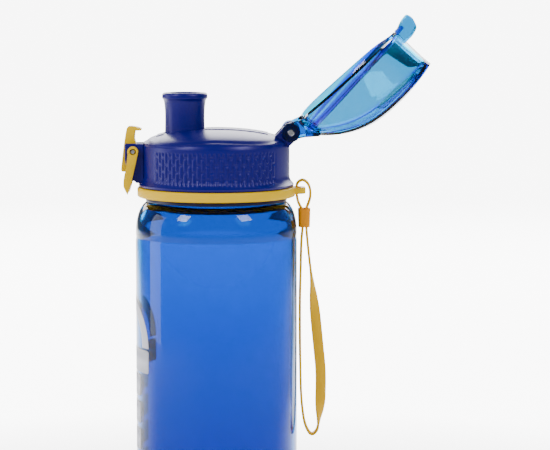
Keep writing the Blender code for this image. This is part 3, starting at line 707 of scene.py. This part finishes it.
def cover_top(x):
    """Height of the closed cover's ridge line: drooping a little in front, falling to the hinge behind."""
    behind = np.clip((x + 8.0 * MM) / (38.5 * MM), 0.0, None)
    before = np.clip((-8.0 * MM - x) / (25.8 * MM), 0.0, None)
    return 234.2 * MM - 17.0 * MM * behind ** 2.4 - 2.4 * MM * before ** 2


def cover_rim(x):
    """Height of the closed cover's rim at x: nearly flat, just clear of the dome."""
    return 209.9 * MM - 0.3 * MM * (x / (30.0 * MM)) ** 2


def cover_surface(climb, inward, angle):
    """Outer skin of the closed cover.

    climb goes 0 to 1 from the rim to the edge of the top, then inward goes 1 to 0 from that edge to the
    middle.  Seen from above each ring is an oval squarer than an ellipse; the top is crowned.
    """
    front = (-31.4 - 2.2 * climb ** 3 - 0.6 * np.sin(math.pi * climb)) * MM
    rear = (29.0 - 1.5 * climb ** 2) * MM
    half = COVER_HALF - (COVER_HALF - TOP_HALF) * climb - 0.8 * MM * np.sin(math.pi * climb)
    middle, reach = (front + rear) / 2, (rear - front) / 2
    along = np.sign(np.cos(angle)) * np.abs(np.cos(angle)) ** 0.8
    across = np.sign(np.sin(angle)) * np.abs(np.sin(angle)) ** 0.8
    x = middle + reach * inward * along
    y = half * inward * across
    crown = 1.6 * MM * (1.0 - inward ** 2)
    z = cover_rim(x) + (cover_top(x) - 1.6 * MM + crown - cover_rim(x)) * climb
    return np.stack([x, y, z], -1)


def normals_of(points):
    """Outward normals of a grid of points, rows climbing and columns going round."""
    up = np.gradient(points, axis=0)
    round_ = np.roll(points, -1, 1) - np.roll(points, 1, 1)
    normal = np.cross(round_, up)
    length = np.linalg.norm(normal, axis=-1, keepdims=True)
    normal = normal / np.maximum(length, 1e-12)
    normal[-1] = (0.0, 0.0, 1.0)
    return normal


def make_cover():
    """The clear shell of the cover: outer and inner skins a wall apart, joined round the rim.

    A shallow rib runs along each side from the hinge to the front, and the wall thickens inwards round the
    edge of the top.  The thick_band attribute is high there and on the rim, where the plastic looks deep blue.
    """
    columns = 240
    angle = np.arange(columns) * math.tau / columns
    climb = np.concatenate([np.linspace(0.0, 1.0, 56), np.ones(25)])[:, None]
    inward = np.concatenate([np.ones(56), np.linspace(1.0, 0.0, 26)[1:]])[:, None]
    off_middle = np.abs(COVER_HALF / MM * np.sin(angle))
    near_knuckle = np.clip((11.6 - off_middle) / 1.6, 0.0, 1.0) * (np.cos(angle) > 0)
    start = 0.36 * near_knuckle * near_knuckle * (3 - 2 * near_knuckle)
    climb = np.where(inward < 1.0, climb, start + (1.0 - start) * climb)
    skin = cover_surface(climb, inward, angle)
    normal = normals_of(skin)
    rib_height = 209.3 * MM + 0.105 * (skin[..., 0] + 30.8 * MM)
    on_side = (inward >= 1.0) * (np.abs(np.sin(angle)) > 0.25)
    rib = np.exp(-((skin[..., 2] - rib_height) / (1.25 * MM)) ** 4) * on_side
    lip = np.exp(-((climb - 1.0) / 0.11) ** 2) * np.exp(-((1.0 - inward) / 0.09) ** 2)
    outer = skin + normal * (0.08 * MM * rib[..., None])
    inner = skin - normal * (COVER_WALL * (1.0 + 0.1 * rib + 0.4 * lip))[..., None]
    rim = np.exp(-(climb - start) / 0.03) * (inward >= 1.0)
    band = np.clip(np.maximum(np.maximum(rib, lip), 0.35 * rim), 0.0, 1.0)
    points = np.concatenate([opened(outer)[::-1], opened(inner)])
    bands = np.concatenate([band[::-1], band])
    shell = outwards(to_mesh("cover_shell", points, grid_faces(2 * len(climb), columns), bands))
    return finish_piece(shell, "cover", COVER_TINT, "flip_cover", sharp=50)


def cover_part(name, outline, low_y, high_y, band, round_edge=0.4 * MM):
    """A clear moulded part of the cover, drawn closed in side view and turned to the open cover."""
    piece = slab(name, outline, low_y, high_y, round_edge, opened)
    paint_band(piece, band)
    return finish_piece(piece, "cover", COVER_TINT)


def paint_band(piece, value):
    """Give every point of a piece the same thick_band."""
    layer = piece.data.attributes.new("thick_band", "FLOAT", "POINT")
    layer.data.foreach_set("value", np.full(len(piece.data.vertices), value))


def reshape(piece, rule):
    """Pass a piece's points through a function of an array of points."""
    mesh = piece.data
    points = np.zeros(3 * len(mesh.vertices))
    mesh.vertices.foreach_get("co", points)
    mesh.vertices.foreach_set("co", rule(points.reshape(-1, 3)).ravel())
    mesh.update()


def make_cover_details():
    """Hinge ears and bridge, the latch tab's cheeks and ledge, the seal and its seat, the rim bumpers."""
    ear = np.concatenate([
        in_mm([(24.6, 211.8), (26.8, 209.2), (30.6, 208.0)]),
        arc(HINGE_X, HINGE_Z, 4.35 * MM, -110, 100, 20),
        in_mm([(28.8, 217.8), (25.4, 220.6)])])
    tab = rounded_outline(in_mm([
        (-30.4, 209.8, 0), (-36.6, 207.1, 1.0), (-40.4, 206.6, 1.0), (-41.1, 209.4, 1.2),
        (-39.8, 214.0, 1.6), (-35.6, 215.4, 1.2), (-31.4, 215.6, 0)]))
    pairs = zip(both_sides(EAR_INNER, EAR_OUTER), both_sides(3.7 * MM, 5.9 * MM))
    for (label, *ear_span), (_, *tab_span) in pairs:
        cover_part(f"cover_ear_{label}", ear, *ear_span, 0.45, 0.5 * MM)
        cover_part(f"cover_tab_{label}", tab, *tab_span, 0.05)
    bridge = in_mm([(24.8, 219.0), (29.2, 215.5), (30.4, 216.9), (25.2, 220.9)])
    cover_part("cover_bridge", bridge, -EAR_OUTER + 0.1 * MM, EAR_OUTER - 0.1 * MM, 0.4)
    ledge = in_mm([(-31.0, 208.7), (-35.2, 208.7), (-35.2, 210.2), (-31.0, 210.8)])
    cover_part("cover_ledge", ledge, -4.2 * MM, 4.2 * MM, 0.8, 0.3 * MM)
    seat = turned("cover_seal_seat", rounded_outline(in_mm([
        (10.95, 229.4, 0.3), (12.1, 229.4, 0.3), (12.1, 231.6, 0), (10.95, 231.6, 0)])), 96, (SPOUT_X, 0.0))
    foot, hollow = SPOUT_TOP + 0.35 * MM, SPOUT_TOP + 0.7 * MM
    pad = turned("seal_pad", rounded_outline([
        (0.0, 230.0 * MM, 0), (10.4 * MM, 230.0 * MM, 0.4 * MM), (10.4 * MM, foot, 0.4 * MM),
        (6.2 * MM, foot, 0.3 * MM), (5.6 * MM, hollow, 0.2 * MM), (0.0, hollow, 0)], closed=False),
        96, (SPOUT_X, 0.0), closed=False)
    for piece in (seat, pad):
        reshape(piece, opened)
    paint_band(seat, 0.25)
    finish_piece(seat, "cover", COVER_TINT)
    finish_piece(pad, "cover", PALE_SILICONE, "cover_seal")
    for x, across, label in ((-29.9 * MM, 9.0 * MM, "front"), (27.3 * MM, 13.4 * MM, "rear")):
        foot = float(cover_rim(x)) - 0.35 * MM
        for side, end in ((-1, "near"), (1, "far")):
            stem = [(x, side * across, foot + rise * MM) for rise in (0.0, 1.1, 2.2)]
            bumper = swept(f"rim_bumper_{label}_{end}", stem, circle(1.0 * MM))
            reshape(bumper, opened)
            finish_piece(bumper, "cover", NAVY)


# ---------------------------------------------------------------- latch, pins and springs
def make_lever():
    """Hook lever: a bowed plate, bent over at the top as a hook and ending below in a thumb pad."""
    outline = rounded_outline(in_mm([
        (-36.6, 211.2, 0.4), (-33.9, 211.3, 0.3), (-33.7, 212.0, 0.3), (-35.6, 212.8, 0.8),
        (-38.6, 213.3, 0.8), (-40.2, 213.0, 0.8), (-40.7, 211.4, 0.8), (-41.5, 206.8, 1.5),
        (-42.4, 200.0, 2.0), (-43.15, 193.2, 0.6), (-42.5, 192.55, 0.4), (-41.1, 192.55, 0.4),
        (-40.6, 196.0, 1.0), (-39.3, 199.8, 0.5), (-35.9, 199.6, 1.4), (-34.6, 202.6, 1.4),
        (-36.2, 204.9, 1.0), (-37.0, 207.6, 1.0)]))
    lever = slab("hook_lever", outline, -3.2 * MM, 3.2 * MM, 0.4 * MM, segments=3)
    finish_piece(lever, "lever", YELLOW, "latch_lever")


def make_bail():
    """Lock bail: two arms tapering to a point, their round eyes on the pin, and a bar between their feet."""
    head = arc(LATCH_X, LATCH_Z, 2.45 * MM, -20, 200, 24)
    eye = arc(LATCH_X, LATCH_Z, 1.42 * MM, -20, 200, 24)
    under = arc(LATCH_X, LATCH_Z, 1.42 * MM, 200, 340, 14)
    neck_z = LATCH_Z - 0.9 * MM
    taper = in_mm([
        (-40.3, 196.0, 1.5), (-41.7, 189.4, 1.5), (-41.75, 186.2, 1.0), (-39.9, 182.45, 0.3),
        (-38.8, 186.0, 1.0), (-37.6, 190.2, 1.2)])
    lower = rounded_outline(
        [(LATCH_X - 2.3 * MM, neck_z, 0), *taper, (LATCH_X + 2.3 * MM, neck_z, 0)], closed=False)
    arm, crown = np.concatenate([lower, under[::-1]]), np.concatenate([head, eye[::-1]])
    for (label, low, high), nodes in zip(both_sides(7.0 * MM, 9.2 * MM), (("lock_bail",), ())):
        for name, outline, stands_for in (("bail_arm", arm, nodes), ("bail_eye", crown, ())):
            piece = slab(f"{name}_{label}", outline, low, high, 0.35 * MM, segments=3)
            finish_piece(piece, "bail", YELLOW, *stands_for)
    bar = rounded_outline(in_mm([
        (-41.6, 187.8, 0.5), (-41.6, 186.2, 0.8), (-39.9, 182.7, 0.4), (-38.9, 186.0, 0.8)]))
    finish_piece(slab("bail_bar", bar, -7.3 * MM, 7.3 * MM, 0.4 * MM), "bail", YELLOW)


def pin(name, radius, end, x, z, node):
    """A straight pin along Y with softly rounded ends."""
    outline = [(0.0, -end), (radius - 0.25 * MM, -end), (radius, -end + 0.25 * MM)]
    outline += [(radius, end - 0.25 * MM), (radius - 0.25 * MM, end), (0.0, end)]
    piece = turned(name, outline, 40, closed=False)
    reshape(piece, lambda points: np.stack([points[:, 0] + x, points[:, 2], points[:, 1] + z], 1))
    outwards(piece)
    finish_piece(piece, "cap", STEEL, node)


def coil(name, x, z, radius, wire, low_y, turns, node):
    """A torsion spring: a round wire wound about the line along Y at (x, z), its turns side by side."""
    run = np.linspace(0.0, turns, turns * 40 + 1)
    line = np.stack([x + radius * np.cos(math.tau * run), low_y + wire + 2.3 * wire * run,
                     z + radius * np.sin(math.tau * run)], 1)
    piece = swept(name, line, circle(wire * 0.96, 10))
    finish_piece(piece, "cap", STEEL, node, sharp=0)


def make_metal():
    """Hinge and latch pins with their springs."""
    pin("hinge_pin_bar", 1.5 * MM, PIN_END, HINGE_X, HINGE_Z, "hinge_pin")
    pin("latch_pin_bar", 1.1 * MM, LATCH_PIN_END, LATCH_X, LATCH_Z, "latch_pin")
    coil("hinge_coil", HINGE_X, HINGE_Z, 2.5 * MM, 0.35 * MM, -3.8 * MM, 9, "hinge_spring")
    coil("latch_coil", LATCH_X, LATCH_Z, 1.95 * MM, 0.3 * MM, 0.9 * MM, 3, "latch_spring")


# ---------------------------------------------------------------- carry ring, wrist strap and its keeper
STRAP_ROUTE = [
    (39.05, 175.2), (37.3, 178.6), (36.6, 182.0), (36.5, 185.0), (37.0, 187.4), (39.2, 188.7), (41.4, 187.4),
    (42.6, 184.6), (42.7, 181.0), (41.8, 177.8), (40.7, 175.0), (39.5, 170.6), (39.2, 166.0), (38.7, 160.0),
    (38.4, 148.0), (38.1, 134.0), (38.1, 118.0), (38.3, 104.0), (38.6, 92.0), (39.3, 83.0), (40.6, 76.0),
    (43.2, 71.6), (46.0, 73.6), (47.0, 80.0), (47.6, 90.0), (47.6, 101.0), (46.6, 112.0), (45.2, 126.0),
    (43.6, 142.0), (42.2, 154.0), (41.2, 164.0), (41.0, 168.0), (41.0, 170.4)]


def make_ring():
    """Carry ring: a band lying in the cap's groove, with a slotted lug standing out behind."""
    band = turned("ring_band", rounded_outline([
        (31.65 * MM, RING_BOTTOM, 0.5 * MM), (RING_OUTER, RING_BOTTOM, 1.0 * MM),
        (RING_OUTER, RING_TOP, 1.0 * MM), (31.65 * MM, RING_TOP, 0.5 * MM)]), 160)
    finish_piece(band, "ring", YELLOW, "carry_ring")
    loop = rounded_outline(in_mm([
        (34.0, -4.35, 0), (39.35, -4.35, 2.2), (39.35, 4.35, 2.2), (34.0, 4.35, 0)]), closed=False)
    line = smooth_line([(x, y, 184.0 * MM) for x, y in loop], 0.5 * MM)
    section = rounded_outline(in_mm([
        (-1.4, -1.25, 0.6), (1.4, -1.25, 0.6), (1.4, 1.25, 0.6), (-1.4, 1.25, 0.6)]))
    lug = swept("ring_lug", line, section, across=(0, 0, 1))
    finish_piece(lug, "ring", YELLOW)


def make_strap():
    """Wrist strap: a flat soft band, looped through the lug and back into the keeper.

    The strand away from the bottle turns its flat face to the front a third of the way up.
    """
    route = [(x * MM, 0.0, z * MM) for x, z in STRAP_ROUTE]
    line = smooth_line(route, 0.8 * MM)
    run = np.concatenate([[0.0], np.cumsum(np.linalg.norm(np.diff(line, axis=0), axis=1))])
    left, right = run[np.argmin(line[:, 2])] + 4 * MM, run[-1] - 42 * MM
    rise = np.clip((run - left) / (16 * MM), 0.0, 1.0)
    fall = np.clip((right + 20 * MM - run) / (26 * MM), 0.0, 1.0)
    amount = np.minimum(rise, fall)
    twist = math.radians(80) * amount * amount * (3.0 - 2.0 * amount)
    band = swept("wrist_band", line, pill(4.9 * MM, 1.15 * MM), twist=twist)
    finish_piece(band, "ring", STRAP_YELLOW, "wrist_strap")
    return band, line


def make_keeper():
    """Keeper: a soft sleeve round both strands and the strap's end, narrower below."""
    low, high, inner, wall = 167.2 * MM, 175.8 * MM, 2.05 * MM, 0.85 * MM
    section = rounded_outline([
        (0.0, low, 0.25 * MM), (0.75 * wall, low, 0.4 * MM), (wall, high, 0.42 * MM), (0.0, high, 0.25 * MM)])
    angle = np.arange(64) * math.tau / 64
    along = np.sign(np.cos(angle)) * np.abs(np.cos(angle)) ** 0.55
    across = np.sign(np.sin(angle)) * np.abs(np.sin(angle)) ** 0.55
    grow, height = section[:, :1], section[:, 1:2]
    x = 39.95 * MM + (inner + grow) * along[None, :]
    y = (inner + 0.7 * MM + grow) * across[None, :]
    points = np.stack([x, y, np.broadcast_to(height, x.shape)], -1)
    sleeve = outwards(to_mesh("keeper_sleeve", points, grid_faces(len(section), len(angle), wrap_rows=True)))
    return finish_piece(sleeve, "ring", KEEPER_ORANGE, "strap_keeper")


# ---------------------------------------------------------------- the studio
GLOW = 2.6              # light of the pale floor behind the bottle
BACKDROP = 3.0 * GLOW   # light of the far floor and the surround, for the camera alone
SURROUND = 0.22         # light of the surround for everything else


def camera_or(tree, direct, other):
    """The first value for rays straight from the camera and the second for all others."""
    seen = add_node(tree, "LightPath", {}).outputs["Is Camera Ray"]
    return add_node(tree, "Mix", {"Factor": seen, "A": other, "B": direct}).outputs["Result"]


def make_floor():
    """A plain pale floor under the bottle, lit from within where it lies behind."""
    reach = 40.0
    corners = [(-reach, -reach, 0), (reach, -reach, 0), (reach, reach, 0), (-reach, reach, 0)]
    mesh = bpy.data.meshes.new("studio_floor")
    mesh.from_pydata(corners, [], [(0, 1, 2, 3)])
    floor = bpy.data.objects.new("studio_floor", mesh)
    bpy.context.collection.objects.link(floor)
    paper = bpy.data.materials.new("studio_paper")
    paper.use_nodes = True
    tree = paper.node_tree
    where = object_place(tree)
    split = add_node(tree, "SeparateXYZ", {"Vector": where}).outputs
    widen = calculate(tree, "MULTIPLY", split["Y"], 0.13)
    right = calculate(tree, "SUBTRACT", split["X"], widen)
    left = calculate(tree, "ADD", split["X"], widen)
    glow = GLOW
    for value, dark, bright in ((split["Y"], 0.0, 0.35), (right, 0.50, 0.32), (left, -1.1, -0.5)):
        glow = calculate(tree, "MULTIPLY", ramp(tree, value, dark, bright), glow)
    away = add_node(tree, "VectorMath", {0: where}, operation="LENGTH").outputs["Value"]
    backdrop = ramp(tree, away, 0.12, 0.45, BACKDROP)
    set_inputs(tree, tree.nodes["Principled BSDF"], {
        "Base Color": (0.92, 0.92, 0.93), "Roughness": 0.8, "Emission Color": (1.0, 1.0, 1.0),
        "Emission Strength": camera_or(tree, backdrop, glow)})
    mesh.materials.append(paper)


def soft_light(name, place, aim_height, width, height, power):
    """A rectangular soft light at a place, turned to a height on the bottle's axis."""
    data = bpy.data.lights.new(name, "AREA")
    data.shape = "RECTANGLE"
    data.size, data.size_y = width, height
    data.energy = power
    lamp = bpy.data.objects.new(name, data)
    bpy.context.collection.objects.link(lamp)
    lamp.location = place
    aim = Vector((0.0, 0.0, aim_height)) - Vector(place)
    lamp.rotation_euler = aim.to_track_quat("-Z", "Y").to_euler()


def make_lights():
    """A small soft box high at each front corner, a tall one at the left side, a wide one behind and above,
    and a dim surround.
    """
    soft_light("box_left", (-1.0, -0.75, 1.0), 0.17, 0.4, 0.5, 12.0)
    soft_light("box_right", (0.85, -0.75, 1.0), 0.17, 0.4, 0.5, 9.0)
    soft_light("box_side", (-1.2, 0.1, 0.35), 0.17, 0.5, 0.8, 4.0)
    soft_light("box_behind", (0.0, 1.5, 0.85), 0.2, 2.4, 0.8, 45.0)
    world = bpy.data.worlds.new("pale_surround")
    world.use_nodes = True
    tree = world.node_tree
    set_inputs(tree, tree.nodes["Background"], {
        "Color": (0.95, 0.97, 1.0), "Strength": camera_or(tree, BACKDROP, SURROUND)})
    bpy.context.scene.world = world


def make_camera():
    """A long lens a little above the cap, level with it, looking along +Y."""
    target, distance, tilt = Vector((0.0267, 0.0, 0.168)), 1.1, math.radians(6.0)
    data = bpy.data.cameras.new("studio_camera")
    data.lens = 158.0
    camera = bpy.data.objects.new("studio_camera", data)
    bpy.context.collection.objects.link(camera)
    camera.location = target + Vector((0.0, -distance * math.cos(tilt), distance * math.sin(tilt)))
    camera.rotation_euler = (math.radians(90.0) - tilt, 0.0, 0.0)
    bpy.context.scene.camera = camera


def main():
    make_bottle()
    make_print()
    make_cap()
    make_crest()
    make_latch_block()
    make_knuckles()
    make_spout()
    make_insert()
    make_seals()
    make_cover()
    make_cover_details()
    make_lever()
    make_bail()
    make_metal()
    make_ring()
    strap, line = make_strap()
    keeper = make_keeper()
    make_floor()
    make_lights()
    make_camera()


main()
